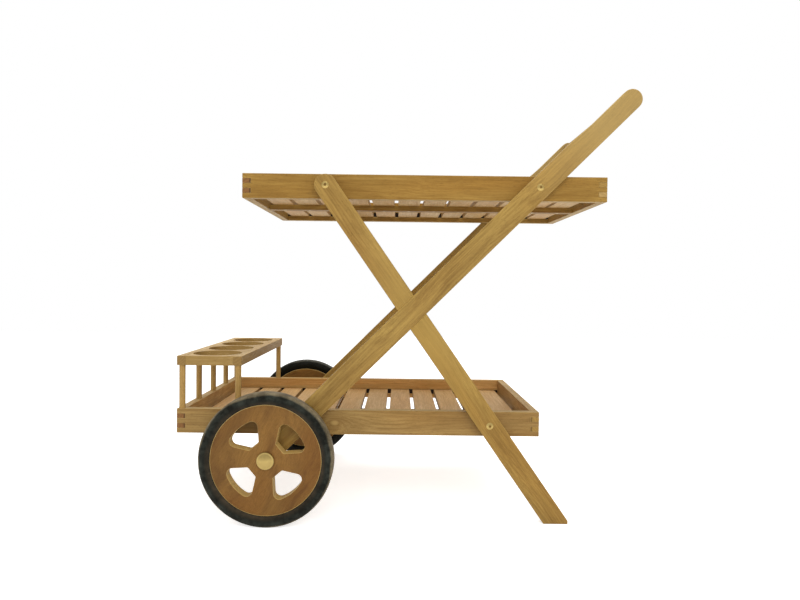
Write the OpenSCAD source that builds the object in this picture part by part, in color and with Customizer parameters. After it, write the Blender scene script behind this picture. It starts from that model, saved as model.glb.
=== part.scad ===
// Two-tier wooden serving trolley: two slatted trays, crossed handle arms and short legs,
// two rubber-tyred wooden wheels on a steel axle, and a bottle rack over the front of the lower tray.
// Millimetres. The floor is z = 0, +X points to the handle, -Y is the left side as one pushes it.

/* [Trays] */
// Length of each tray over its end rails
tray_l = 770; // [600:5:900]
// Width of each tray over its side rails
tray_w = 460; // [380:2:560]
// Height of the tray rails
rail_h = 52; // [44:1:70]
// Thickness of the tray rails
rail_t = 18; // [15:1:24]
// Fingers in each corner joint, counting both rails
finger_n = 5; // [3:2:7]
// Height of the lower tray's underside above the floor
lower_tray_z = 179; // [165:1:230]
// Height of the upper tray's underside above the floor
upper_tray_z = 678; // [620:1:760]
// How far the upper tray's front end lies behind the lower tray's
upper_tray_x = 136; // [90:1:180]

/* [Slats] */
// Number of slats in each tray
slat_n = 12; // [8:1:12]
// Thickness of a slat
slat_t = 12; // [8:0.5:14]
// Gap between two slats
slat_gap = 9; // [3:0.5:12]
// Height of the slats' underside above the tray's underside
slat_lift = 12; // [9:0.5:16]
// Depth of the groove in the side rails that holds the slats' ends
groove_d = 5; // [3:0.5:7]
// Width of the batten under the slats
batten_w = 28; // [20:1:50]
// How far the batten lies to the left of the tray's middle
batten_left = 20; // [0:1:60]
// Diameter of the screws through the batten
screw_d = 3.5; // [3:0.5:4]
// Diameter of the screws' countersunk heads
screw_head_d = 7; // [6:0.5:8]
// Length of the screws through the batten
screw_l = 20; // [15:1:21]

/* [Arms and legs] */
// Width of the arms and legs
arm_w = 46; // [40:1:56]
// Thickness of the arms and legs
arm_t = 22; // [18:1:28]
// Upper arm bolt, from the lower tray's front end
arm_upper_x = 760; // [700:1:820]
// Lower arm bolt, from the lower tray's front end
arm_lower_x = 260; // [225:1:300]
// Length of the arm beyond the upper arm bolt, to the middle of its round end
arm_reach = 263; // [200:1:330]
// Radius of the arm's round end
arm_end_r = 21; // [18:0.5:22]
// Start of the grip's taper, from the upper arm bolt
taper_start = 90; // [50:1:100]
// Length of the grip's taper
taper_l = 90; // [30:1:100]
// Upper leg bolt, from the lower tray's front end
leg_upper_x = 313; // [280:1:340]
// Lower leg bolt, from the lower tray's front end
leg_lower_x = 662; // [630:1:700]
// Length of the vertical cut that takes off the foot's sharp toe
toe_cut = 7; // [3:1:12]

/* [Handle bar] */
// Diameter of the bar between the two arms
bar_d = 28; // [24:1:34]
// Diameter of the tenon on each end of the bar
tenon_d = 18; // [14:1:22]
// Length of the tenon on each end of the bar
tenon_l = 14; // [8:1:16]

/* [Wheels] */
// Height of the tyre's section, from its seat to its tread
tyre_h = 24; // [16:1:32]
// Width of the tyre
tyre_w = 38; // [32:1:46]
// Width of the tyre's tread and of its seat
tread_w = 28; // [22:1:31]
// Diameter of the wooden disc
disc_d = 228; // [200:2:240]
// Thickness of the wooden disc
disc_t = 26; // [20:1:32]
// Radius of the outer edge of the disc's four openings
window_r = 85; // [76:1:92]
// Distance from the hub's middle to the inner edge of an opening
window_in = 37; // [31:1:42]
// Length of the inner edge of an opening
window_in_w = 29; // [22:1:34]
// Width of an opening at its outer corners
window_out_w = 68; // [56:1:76]
// Radius of an opening's outer corners
window_out_r = 12; // [8:1:14]
// Radius of an opening's inner corners
window_in_r = 4; // [2:0.5:8]
// Number of openings in a disc
window_n = 4; // [3:1:5]
// Gap between an arm and the inner side of a tyre
wheel_gap = 4; // [3:0.5:8]
// Angle of the left wheel's first opening above the level
left_turn = 40.5; // [0:0.5:90]
// Angle of the right wheel's first opening above the level
right_turn = 3; // [0:0.5:90]

/* [Axle] */
// Diameter of the axle
axle_d = 12; // [10:0.5:14]
// Outer diameter of the wheel's bush
bush_d = 20; // [17:1:26]
// Diameter of the washer between arm and wheel
washer_d = 30; // [26:1:40]
// Diameter of the hub cap
cap_d = 36; // [30:1:44]
// Height of the hub cap's dome above its rim
cap_dome = 3.5; // [2:0.5:6]
// Thickness of the hub cap's rim
cap_rim = 4.5; // [3:0.5:7]
// Width of the flat rim round the hub cap's dome
cap_rim_w = 3; // [1:0.5:5]
// Length of the axle inside the hub cap
axle_grip = 3.5; // [2:0.5:4]
// Distance of the axle below the middle line of the arm
axle_drop = 6; // [0:0.5:9]

/* [Bolts] */
// Diameter of the bolts that hold the trays
bolt_d = 6; // [5:0.5:8]
// Diameter of the bolt's domed head
head_d = 15; // [11:0.5:18]
// Height of the bolt's domed head
head_h = 3; // [2:0.5:3.5]
// Outer diameter of the threaded insert in the rail
insert_d = 10; // [9:0.5:12]
// Length of the threaded insert in the rail
insert_l = 11; // [8:0.5:12]

/* [Bottle rack] */
// Thickness of the rack's top
rack_t = 20; // [14:1:26]
// Clear height between the lower tray and the rack's top
rack_lift = 92; // [60:1:130]
// Number of bottle holes
hole_n = 4; // [3:1:4]
// Thinnest wood between two bottle holes
hole_web = 6.5; // [4:0.5:12]
// Thinnest wood between a bottle hole and the rack's long edges
rack_edge = 16.5; // [13:0.5:17.5]
// Diameter of the dowels
dowel_d = 13; // [9:0.5:15]
// Depth of the dowels' sockets in the tray rails and in the rack's top
socket_d = 12; // [8:0.5:15]

/* [Fits] */
// Radial clearance of a wheel's bush on the axle
running_fit = 0.06; // [0.03:0.01:0.1]
// Radial clearance of glued, screwed and pressed pieces
seat_fit = 0.05; // [0.02:0.01:0.1]
// Clearance of the slats in their grooves
slat_fit = 0.2; // [0.1:0.1:0.5]
// End play of a wheel between its washer and its hub cap
end_play = 0.4; // [0.3:0.1:0.8]

/* [Hidden] */
$fn = 96;
ARC = 8;               // segments in a rounded corner of an outline
EPS = 1;               // how far a cut runs past the face it opens
WOOD = "burlywood";
DARK_WOOD = "peru";
BRASS = "goldenrod";
STEEL = "silver";

// Slats
slat_room = tray_l - 2 * rail_t;
slat_w = (slat_room - (slat_n + 1) * slat_gap) / slat_n;
slat_pitch = slat_w + slat_gap;
slat_l = tray_w - 2 * rail_t + 2 * (groove_d - slat_fit);
groove_h = slat_t + slat_fit;
finger_h = rail_h / finger_n;
function slat_x(i) = rail_t + slat_gap + (i - 1) * slat_pitch;

// The two planes of arms and legs: the bolts lie at mid-height of the rails
lower_bolt_z = lower_tray_z + rail_h / 2;
upper_bolt_z = upper_tray_z + rail_h / 2;
bolt_rise = upper_bolt_z - lower_bolt_z;
arm_run = arm_upper_x - arm_lower_x;
arm_a = atan2(bolt_rise, arm_run);
arm_span = norm([arm_run, bolt_rise]);
leg_run = leg_lower_x - leg_upper_x;
leg_a = atan2(bolt_rise, leg_run);
rail_y = tray_w / 2;
arm_out_y = rail_y + arm_t;
half_t = arm_t / 2;

// Bolt places: distance from the lower tray's front end, and height
arm_bolts = [[arm_lower_x, lower_bolt_z], [arm_upper_x, upper_bolt_z]];
leg_bolts = [[leg_lower_x, lower_bolt_z], [leg_upper_x, upper_bolt_z]];

// Round end of the arm, in the arm's own frame (s along the arm, p across it)
tip_s = arm_span + arm_reach;
tip_p = arm_end_r - arm_w / 2;
grip_drop = arm_w - 2 * arm_end_r;
tip = [arm_lower_x + tip_s * cos(arm_a) - tip_p * sin(arm_a),
       lower_bolt_z + tip_s * sin(arm_a) + tip_p * cos(arm_a)];

// Axle: at the wheel's radius above the floor, a little below the arm's middle line
wheel_d = disc_d + 2 * tyre_h;
axle_z = wheel_d / 2;
axle_s = (axle_z - lower_bolt_z + axle_drop * cos(arm_a)) / sin(arm_a);
axle_x = arm_lower_x + axle_s * cos(arm_a) + axle_drop * sin(arm_a);
heel_r = arm_w / 2 - axle_drop;

// Wheel, along its axle
wheel_in_y = arm_out_y + wheel_gap;
wheel_mid_y = wheel_in_y + tyre_w / 2;
disc_out_y = wheel_mid_y + disc_t / 2;
washer_out_y = wheel_in_y - end_play / 2;
cap_in_y = disc_out_y + end_play;
axle_end_y = cap_in_y + axle_grip;

// Rack: the bottle holes are as large as the wood between and round them allows
post_y = rail_y - rail_t / 2;
hole_pitch = 2 * post_y / hole_n;
hole_d = hole_pitch - hole_web;
rack_l = hole_d + 2 * rack_edge;
rack_rail_w = rail_t;
rack_room = rack_l - 2 * rack_rail_w;
rack_z = lower_tray_z + rail_h + rack_lift;
function hole_y(i) = -post_y + (i - 0.5) * hole_pitch;
function dowel_y(i) = -post_y + i * hole_pitch;

// Foot
foot_bottom_x = leg_lower_x + lower_bolt_z / tan(leg_a);

// The origin is the middle of the length over the lower tray and the arms' ends
front_x = 0;
back_x = tip[0] + arm_end_r;
mid_x = (front_x + back_x) / 2;

function numbered(stem, n) = [for (i = [1 : n]) str(stem, i < 10 ? "_0" : "_", i)];
function arc(c, r, a0, a1) = [for (i = [0 : ARC]) let (a = a0 + (a1 - a0) * i / ARC) c + r * [cos(a), sin(a)]];

// Places a piece given from the lower tray's front end
module placed(x, z) translate([x - mid_x, 0, z]) children();

// Turns a piece made for the right side (+Y) to the side asked for
module on_side(side) {
  if (side == "left") mirror([0, 1, 0]) children();
  else children();
}

// A flat piece drawn in X and Z, from y to y + t
module upright(y, t) translate([0, y + t, 0]) rotate([90, 0, 0]) linear_extrude(t) children();

// A cylinder along Y, from y to y + l
module rod(r, y, l) translate([0, y + l, 0]) rotate([90, 0, 0]) cylinder(h = l, r = r);

/* ---- Trays ---- */

// Side rail: the slats' groove inside, notches for the end rails' fingers, holes for the inserts
module side_rail(side, tray_x, tray_z) {
  color(WOOD) on_side(side) placed(tray_x, tray_z) difference() {
    translate([0, rail_y - rail_t, 0]) cube([tray_l, rail_t, rail_h]);
    for (end_x = [-EPS, tray_l - rail_t], i = [1 : 2 : finger_n - 2])
      translate([end_x, rail_y - rail_t - EPS, i * finger_h])
        cube([rail_t + EPS, rail_t + 2 * EPS, finger_h]);
    translate([rail_t, rail_y - rail_t - EPS, slat_lift]) cube([slat_room, groove_d + EPS, groove_h]);
    for (at = concat(arm_bolts, leg_bolts))
      if (at[1] == tray_z + rail_h / 2)
        translate([at[0] - tray_x, 0, rail_h / 2]) rod(insert_d / 2 + seat_fit, rail_y - insert_l, insert_l + EPS);
    if (tray_z == lower_tray_z) {
      for (x = [rail_t / 2, rack_l - rack_rail_w / 2])
        translate([x, post_y, rail_h - socket_d]) cylinder(h = socket_d + EPS, d = dowel_d + 2 * seat_fit);
    }
  }
}

// End rail: its fingers reach the side rails' outer faces
module end_rail(at_rear, tray_x, tray_z) {
  color(WOOD) placed(tray_x + (at_rear ? tray_l - rail_t : 0), tray_z) difference() {
    translate([0, -rail_y, 0]) cube([rail_t, tray_w, rail_h]);
    for (end_y = [-rail_y - EPS, rail_y - rail_t], i = [0 : 2 : finger_n - 1])
      translate([-EPS, end_y, i * finger_h - (i == 0 ? EPS : 0)])
        cube([rail_t + 2 * EPS, rail_t + EPS, finger_h + (i % (finger_n - 1) == 0 ? EPS : 0)]);
    if (!at_rear && tray_z == lower_tray_z)
      for (i = [0 : hole_n])
        translate([rail_t / 2, dowel_y(i), rail_h - socket_d])
          cylinder(h = socket_d + EPS, d = dowel_d + 2 * seat_fit);
  }
}

module slat(i, tray_x, tray_z) {
  color(WOOD) placed(tray_x + slat_x(i), tray_z + slat_lift)
    translate([0, -slat_l / 2, 0]) difference() {
      cube([slat_w, slat_l, slat_t]);
      translate([slat_w / 2, slat_l / 2 - batten_left, -EPS])
        cylinder(h = screw_l - slat_lift + EPS + seat_fit, d = screw_d + 2 * seat_fit);
    }
}

// Batten: under the slats, flush with the rails' undersides, with a screw into each slat
module batten(tray_x, tray_z) {
  color(WOOD) placed(tray_x + rail_t, tray_z) difference() {
    translate([0, -batten_left - batten_w / 2, 0]) cube([slat_room, batten_w, slat_lift]);
    for (i = [1 : slat_n])
      translate([slat_x(i) + slat_w / 2 - rail_t, -batten_left, 0]) screw(seat_fit);
  }
}

// Countersunk screw, head down at z = 0; grow is the clearance all round it
module screw(grow) {
  head_l = (screw_head_d - screw_d) / 2;
  translate([0, 0, -grow]) cylinder(h = head_l, r1 = screw_head_d / 2 + grow, r2 = screw_d / 2 + grow);
  translate([0, 0, -grow]) cylinder(h = screw_l + 2 * grow, r = screw_d / 2 + grow);
}

module batten_screws() {
  color(BRASS) for (tray = [[0, lower_tray_z], [upper_tray_x, upper_tray_z]], i = [1 : slat_n])
    placed(tray[0] + slat_x(i) + slat_w / 2, tray[1]) translate([0, -batten_left, 0]) screw(0);
}

/* ---- Arms and legs ---- */

// Straight strip of the arm, for the halved joint
module arm_strip() translate([arm_lower_x, lower_bolt_z]) rotate(arm_a)
  translate([0, -arm_w / 2]) square([arm_span, arm_w]);

// Straight strip of the leg, for the halved joint
module leg_strip() translate([leg_upper_x, upper_bolt_z]) rotate(-leg_a)
  translate([0, -arm_w / 2]) square([norm([leg_run, bolt_rise]), arm_w]);

// The arm's outline: heel round the axle, straight lower edge, grip tapered on its upper edge
module arm_outline() translate([arm_lower_x, lower_bolt_z]) rotate(arm_a) polygon(concat(
  arc([axle_s, -axle_drop], heel_r, 270, 135),
  [[axle_s + arm_w / 2 + axle_drop - heel_r * sqrt(2), arm_w / 2]],
  [for (i = [0 : ARC]) [arm_span + taper_start + taper_l * i / ARC,
                        arm_w / 2 - grip_drop * (1 - cos(180 * i / ARC)) / 2]],
  arc([tip_s, tip_p], arm_end_r, 90, -90)));

module bolt_holes(places) for (at = places)
  translate([at[0], 0, at[1]]) rod(bolt_d / 2 + seat_fit, rail_y - EPS, arm_t + 2 * EPS);

module handle_arm(side) {
  color(WOOD) on_side(side) placed(0, 0) difference() {
    upright(rail_y, arm_t) arm_outline();
    upright(rail_y - EPS, half_t + EPS) leg_strip();
    bolt_holes(arm_bolts);
    translate([axle_x, 0, axle_z]) rod(axle_d / 2 + seat_fit, rail_y - EPS, arm_t + 2 * EPS);
    translate([tip[0], 0, tip[1]]) rod(tenon_d / 2 + seat_fit, rail_y - EPS, tenon_l + seat_fit + EPS);
  }
}

module short_leg(side) {
  reach = 2 * arm_w;     // how far the foot's two cuts reach past it
  color(WOOD) on_side(side) placed(0, 0) difference() {
    union() {
      upright(rail_y, arm_t) translate([leg_upper_x, upper_bolt_z]) rotate(-leg_a)
        translate([0, -arm_w / 2]) square([(upper_bolt_z + arm_w) / sin(leg_a), arm_w]);
      translate([leg_upper_x, 0, upper_bolt_z]) rod(arm_w / 2, rail_y, arm_t);
    }
    // level foot, and the cut that takes off the toe
    translate([foot_bottom_x - reach, rail_y - EPS, -reach]) cube([2 * reach, arm_t + 2 * EPS, reach]);
    translate([foot_bottom_x + arm_w / 2 / sin(leg_a) - toe_cut / tan(leg_a), rail_y - EPS, -reach])
      cube([2 * reach, arm_t + 2 * EPS, reach + toe_cut]);
    upright(rail_y + half_t, half_t + EPS) arm_strip();
    bolt_holes(leg_bolts);
  }
}

// Round bar between the arms, tenoned into them
module handle_bar() color(WOOD) placed(tip[0], tip[1]) {
  rod(bar_d / 2, -rail_y, tray_w);
  rod(tenon_d / 2, -rail_y - tenon_l, tray_w + 2 * tenon_l);
}

/* ---- Bolts ---- */

// Low dome standing on y = 0, towards +Y
module dome(d, h) {
  sphere_r = (d * d / 4 + h * h) / (2 * h);
  intersection() {
    translate([0, h - sphere_r, 0]) sphere(sphere_r);
    rod(d / 2, 0, h);
  }
}

module frame_bolts() color(BRASS) for (side = ["left", "right"], at = concat(arm_bolts, leg_bolts))
  on_side(side) placed(at[0], at[1]) {
    translate([0, arm_out_y, 0]) dome(head_d, head_h);
    rod(bolt_d / 2, rail_y - insert_l, arm_t + insert_l);
  }

module bolt_inserts() color(BRASS) for (side = ["left", "right"], at = concat(arm_bolts, leg_bolts))
  on_side(side) placed(at[0], at[1]) difference() {
    rod(insert_d / 2, rail_y - insert_l, insert_l);
    rod(bolt_d / 2 + seat_fit, rail_y - insert_l - EPS, insert_l + 2 * EPS);
  }

/* ---- Wheels ---- */

module axle() color(STEEL) placed(axle_x, axle_z) rod(axle_d / 2, -axle_end_y, 2 * axle_end_y);

module axle_washers() color(STEEL) for (side = ["left", "right"])
  on_side(side) placed(axle_x, axle_z) difference() {
    rod(washer_d / 2, arm_out_y, washer_out_y - arm_out_y);
    rod(axle_d / 2 + seat_fit, arm_out_y - EPS, wheel_gap + 2 * EPS);
  }

// One fan-shaped opening, its middle line along +X, with rounded corners
module window_outline() {
  corner_a = asin((window_out_w / 2 - window_out_r) / (window_r - window_out_r));
  outer = (window_r - window_out_r) * [cos(corner_a), sin(corner_a)];
  inner = [window_in + window_in_r, window_in_w / 2 - window_in_r];
  side = outer - inner;
  side_a = atan2(side[1], side[0]) + acos((window_in_r - window_out_r) / norm(side));
  polygon(concat(
    arc([outer[0], -outer[1]], window_out_r, -side_a, -corner_a),
    arc([0, 0], window_r, -corner_a, corner_a),
    arc(outer, window_out_r, corner_a, side_a),
    arc(inner, window_in_r, side_a, 180),
    arc([inner[0], -inner[1]], window_in_r, 180, 360 - side_a)));
}

// Wooden disc with its openings
module wheel_disc(side) {
  color(DARK_WOOD) on_side(side) placed(axle_x, axle_z) difference() {
    rod(disc_d / 2, disc_out_y - disc_t, disc_t);
    rod(bush_d / 2 + seat_fit, disc_out_y - disc_t - EPS, disc_t + 2 * EPS);
    upright(disc_out_y - disc_t - EPS, disc_t + 2 * EPS)
      for (i = [1 : window_n])
        rotate((side == "left" ? left_turn : right_turn) + 360 * i / window_n) window_outline();
  }
}

// Solid rubber tyre: flat seat and tread, rounded side walls
module tyre(side) {
  seat_r = disc_d / 2 + seat_fit;
  tread_r = wheel_d / 2;
  wall_r = (tread_r - seat_r) / 2;
  bulge = (tyre_w - tread_w) / 2;
  wall_round = (wall_r * wall_r + bulge * bulge) / (2 * bulge);
  wall_a = asin(wall_r / wall_round);
  wall_c = [seat_r + wall_r, tyre_w / 2 - wall_round];
  color("dimgray") on_side(side) placed(axle_x, axle_z) translate([0, wheel_mid_y, 0])
    rotate([-90, 0, 0]) rotate_extrude() polygon(concat(
      arc(wall_c, wall_round, 90 + wall_a, 90 - wall_a),
      arc([wall_c[0], -wall_c[1]], wall_round, wall_a - 90, -90 - wall_a)));
}

// Bush pressed into the disc, longer towards the arm
module wheel_bush(side) color(BRASS) on_side(side) placed(axle_x, axle_z) difference() {
  rod(bush_d / 2, wheel_in_y, disc_out_y - wheel_in_y);
  rod(axle_d / 2 + running_fit, wheel_in_y - EPS, tyre_w + 2 * EPS);
}

// Brass cap pressed on the axle's end: it keeps the wheel on
module hub_cap(side) color(BRASS) on_side(side) placed(axle_x, axle_z) difference() {
  union() {
    rod(cap_d / 2, cap_in_y, cap_rim);
    translate([0, cap_in_y + cap_rim, 0]) dome(cap_d - 2 * cap_rim_w, cap_dome);
  }
  rod(axle_d / 2 + seat_fit, cap_in_y - EPS, axle_end_y - cap_in_y + EPS + seat_fit);
}

/* ---- Bottle rack ---- */

module bottle_holes() for (i = [1 : hole_n])
  translate([rack_l / 2, hole_y(i), -EPS]) cylinder(h = rack_t + 2 * EPS, d = hole_d);

module rack_socket(x, y) translate([x, y, -EPS]) cylinder(h = socket_d + EPS, d = dowel_d + 2 * seat_fit);

module rack_rail(at_rear) color(WOOD) placed(0, rack_z) difference() {
  translate([at_rear ? rack_l - rack_rail_w : 0, -rail_y, 0]) cube([rack_rail_w, tray_w, rack_t]);
  bottle_holes();
  if (at_rear) {
    for (y = [-post_y, post_y]) rack_socket(rack_l - rack_rail_w / 2, y);
  } else {
    for (i = [0 : hole_n]) rack_socket(rack_rail_w / 2, dowel_y(i));
  }
}

// Cross piece between two rack rails: the bottle holes scallop its sides
module rack_cross_piece(i) {
  from_y = i == 1 ? -rail_y : hole_y(i - 1);
  to_y = i == hole_n + 1 ? rail_y : hole_y(i);
  color(WOOD) placed(0, rack_z) difference() {
    translate([rack_rail_w, from_y, 0]) cube([rack_room, to_y - from_y, rack_t]);
    bottle_holes();
  }
}

module rack_dowels() color(WOOD) {
  for (i = [0 : hole_n]) rack_dowel(rack_rail_w / 2, dowel_y(i));
  for (y = [-post_y, post_y]) rack_dowel(rack_l - rack_rail_w / 2, y);
}

module rack_dowel(x, y) placed(x, rack_z - rack_lift - socket_d)
  translate([0, y, 0]) cylinder(h = rack_lift + 2 * socket_d, d = dowel_d);

side_rail("left", upper_tray_x, upper_tray_z);  // upper_side_rail_left
side_rail("right", upper_tray_x, upper_tray_z);  // upper_side_rail_right
end_rail(false, upper_tray_x, upper_tray_z);  // upper_end_rail_front
end_rail(true, upper_tray_x, upper_tray_z);  // upper_end_rail_rear
batten(upper_tray_x, upper_tray_z);  // upper_batten
for (i = [1 : slat_n])
  slat(i, upper_tray_x, upper_tray_z);
side_rail("left", 0, lower_tray_z);  // lower_side_rail_left
side_rail("right", 0, lower_tray_z);  // lower_side_rail_right
end_rail(false, 0, lower_tray_z);  // lower_end_rail_front
end_rail(true, 0, lower_tray_z);  // lower_end_rail_rear
batten(0, lower_tray_z);  // lower_batten
for (i = [1 : slat_n])
  slat(i, 0, lower_tray_z);
batten_screws();
handle_arm("left");  // handle_arm_left
handle_arm("right");  // handle_arm_right
short_leg("left");  // short_leg_left
short_leg("right");  // short_leg_right
handle_bar();
frame_bolts();
bolt_inserts();
axle();
axle_washers();
wheel_disc("left");  // wheel_disc_left
wheel_disc("right");  // wheel_disc_right
tyre("left");  // tyre_left
tyre("right");  // tyre_right
wheel_bush("left");  // wheel_bush_left
wheel_bush("right");  // wheel_bush_right
hub_cap("left");  // hub_cap_left
hub_cap("right");  // hub_cap_right
rack_rail(false);  // rack_front_rail
rack_rail(true);  // rack_rear_rail
for (i = [1 : hole_n + 1])
  rack_cross_piece(i);
rack_dowels();
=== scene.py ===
import math
import random

import bmesh
import bpy
from mathutils import Matrix, Vector


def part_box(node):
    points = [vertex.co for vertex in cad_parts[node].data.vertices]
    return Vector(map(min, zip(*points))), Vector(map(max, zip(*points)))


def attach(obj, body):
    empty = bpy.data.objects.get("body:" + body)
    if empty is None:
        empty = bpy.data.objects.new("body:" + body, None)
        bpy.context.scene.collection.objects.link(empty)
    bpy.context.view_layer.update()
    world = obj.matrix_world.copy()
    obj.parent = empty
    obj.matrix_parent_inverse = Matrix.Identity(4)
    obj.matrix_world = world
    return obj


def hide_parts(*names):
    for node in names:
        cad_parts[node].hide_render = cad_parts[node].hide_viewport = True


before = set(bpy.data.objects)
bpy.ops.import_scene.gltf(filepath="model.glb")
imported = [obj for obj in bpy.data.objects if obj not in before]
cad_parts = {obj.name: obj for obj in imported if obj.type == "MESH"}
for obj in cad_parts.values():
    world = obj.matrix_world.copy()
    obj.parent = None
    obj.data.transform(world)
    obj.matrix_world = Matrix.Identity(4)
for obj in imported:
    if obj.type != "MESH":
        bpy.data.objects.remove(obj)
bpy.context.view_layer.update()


# ---- Tray rails ---------------------------------------------------------------------
# Eight rails of oiled hardwood, 18 mm thick, sawn with the grain running along them. Each
# corner is a glued finger joint, sanded flush, so the fingers show their end grain.
X, Y, Z = Vector((1, 0, 0)), Vector((0, 1, 0)), Vector((0, 0, 1))
FINGERS = 5
RAIL_ARRIS = 0.0009
GLUE_LINE = 0.0045
GROOVE_DEPTH = 0.005
GROOVE_FIT = 0.0002
MIDDLE_SLACK = 0.001
HAIR = 0.0001
# faces that meet at less than the first angle are one flat face, and over the second an edge
FLAT, SHARP = math.radians(0.5), math.radians(35)
# of each wood, pale is the ground and deep the marks in it
RAIL_PALE = {"upper": (0.41, 0.248, 0.056), "lower": (0.43, 0.278, 0.092)}
RAIL_DEEP = {"upper": (0.205, 0.10, 0.014), "lower": (0.20, 0.105, 0.026)}
RAIL_FIGURE = {"upper": 0.18, "lower": 0.36}
RAIL_CRISP = 0.7
RAIL_EDGE = (0.54, 0.38, 0.15)
# painted light: the lower end rails are paler than the lower side rails, so that their inner faces, in
# shade, read as lit
END_RAIL_PALE = {"upper": RAIL_PALE["upper"], "lower": (0.56, 0.35, 0.125)}
END_RAIL_DEEP = {"upper": RAIL_DEEP["upper"], "lower": (0.30, 0.155, 0.042)}
# painted light: the lower far side rail is paler, so that its inner face, in the upper tray's shade, reads
# as lit
INNER_LIT_PALE = (0.66, 0.41, 0.16)
INNER_LIT_DEEP = (0.42, 0.21, 0.055)
END_DARK = (0.25, 0.115, 0.034)
END_MIDDLE = (0.38, 0.225, 0.055)
END_PALE = (0.45, 0.29, 0.10)
# the end grain of the fingers in the low and the high half of each end rail
FINGER_ENDS = {("upper", "front"): (END_DARK, END_DARK), ("lower", "front"): (END_DARK, END_DARK),
               ("upper", "rear"): (END_PALE, END_MIDDLE), ("lower", "rear"): (END_MIDDLE, END_MIDDLE)}
# painted shade: the colour of the groove where it lies open between the slats
GROOVE_SHADE_PALE = (0.035, 0.018, 0.008)
GROOVE_SHADE_DEEP = (0.012, 0.006, 0.003)
# how often each mark of the wood comes in a metre, along its fibres and across them
MARKS = {"sway": (2.6, 9), "clouds": (3.2, 17), "warmth": (2.1, 11), "bands": (8, 42),
         "ring strength": (4, 30), "streaks": (5, 120), "lines": (7, 340), "fibres": (20, 620),
         "pores": (110, 1900), "end pores": (300, 420)}
# the growth rings lie 6 mm apart, and a wave texture of scale 1 has its rings 314 mm apart
RING = 0.006
RING_AT_SCALE_1 = 0.314
RING_STRETCH = (0.05, 1, 1)
WARMTH = (1.12, 0.94, 0.7)
# where a plank was sawn: along the tree, to one side of its heart and above it
HEART_ALONG, HEART_ASIDE, HEART_BELOW = (-3, 3), (0.03, 0.08), (0.03, 0.06)
# a small sound knot in the lower left side rail, which the fibres swing round
KNOT = (-0.149, -0.230, 0.204)
KNOT_STRETCH = (0.62, 1, 1)
KNOT_SWAY, KNOT_SWAY_REACH = 0.012, 0.025
KNOT_RING = (0.0115, 0.007)
KNOT_HEART = (0.0065, 0.003)
GRIP_PALING = 0.42
PORE_RELIEF = 0.00025
OILED_GLOSS = 0.25


class Nodes:
    """The nodes of a material or of the studio's light."""

    def __init__(self, owner):
        owner.use_nodes = True
        self.tree = owner.node_tree

    def join(self, socket, value):
        if isinstance(value, bpy.types.NodeSocket):
            self.tree.links.new(value, socket)
        else:
            socket.default_value = value

    def add(self, kind, inputs, **settings):
        made = self.tree.nodes.new("ShaderNode" + kind)
        for key, value in settings.items():
            setattr(made, key, value)
        for key, value in inputs.items():
            self.join(made.inputs[key], value)
        return made

    def math(self, operation, *values):
        return self.add("Math", dict(enumerate(values)), operation=operation).outputs[0]

    def vector(self, operation, *values):
        made = self.add("VectorMath", dict(enumerate(values)), operation=operation)
        return made.outputs["Value" if operation in ("LENGTH", "DISTANCE") else "Vector"]

    def ranged(self, value, low, high, to_low=0.0, to_high=1.0):
        return self.add("MapRange", {0: value, 1: low, 2: high, 3: to_low, 4: to_high}).outputs[0]

    def blend(self, amount, first, second):
        mix = self.add("Mix", {0: amount}, data_type="RGBA")
        for key, colour in ((6, first), (7, second)):
            self.join(mix.inputs[key], (*colour, 1) if isinstance(colour, tuple) else colour)
        return mix.outputs[2]


def shaded(colour, amount):
    """The colour made darker or paler."""
    return tuple(min(1, amount * c) for c in colour)


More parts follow.
